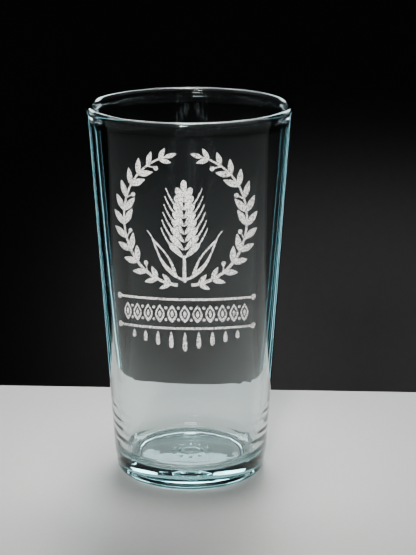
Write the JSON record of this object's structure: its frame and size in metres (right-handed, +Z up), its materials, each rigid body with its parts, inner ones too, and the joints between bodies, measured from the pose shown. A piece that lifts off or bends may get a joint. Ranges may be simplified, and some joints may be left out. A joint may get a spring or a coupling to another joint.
{
  "type": "pint glass",
  "caption": "Tapered clear glass tumbler with a rounded rim bead, a heavy base hollowed underneath, and a frosted laurel wreath and band engraved on the front of its wall.",
  "frame": {"origin": "centre of the standing ring, on the plane the glass stands on", "axes": "+Z up along the glass's axis; the engraved side faces -Y"},
  "size_m": [0.085, 0.085, 0.158],
  "materials": {
    "clear_glass": "polished clear soda-lime glass with a faint teal tint at its edges",
    "frosted_glass": "matt off-white laser frosting"
  },
  "bodies": {
    "root": {"glass_body": "clear_glass", "engraved_wreath_left": "frosted_glass", "engraved_wreath_right": "frosted_glass", "engraved_barley": "frosted_glass", "engraved_upper_rule": "frosted_glass", "engraved_band": "frosted_glass", "engraved_lower_rule": "frosted_glass", "engraved_drops": "frosted_glass"}
  },
  "joints": []
}
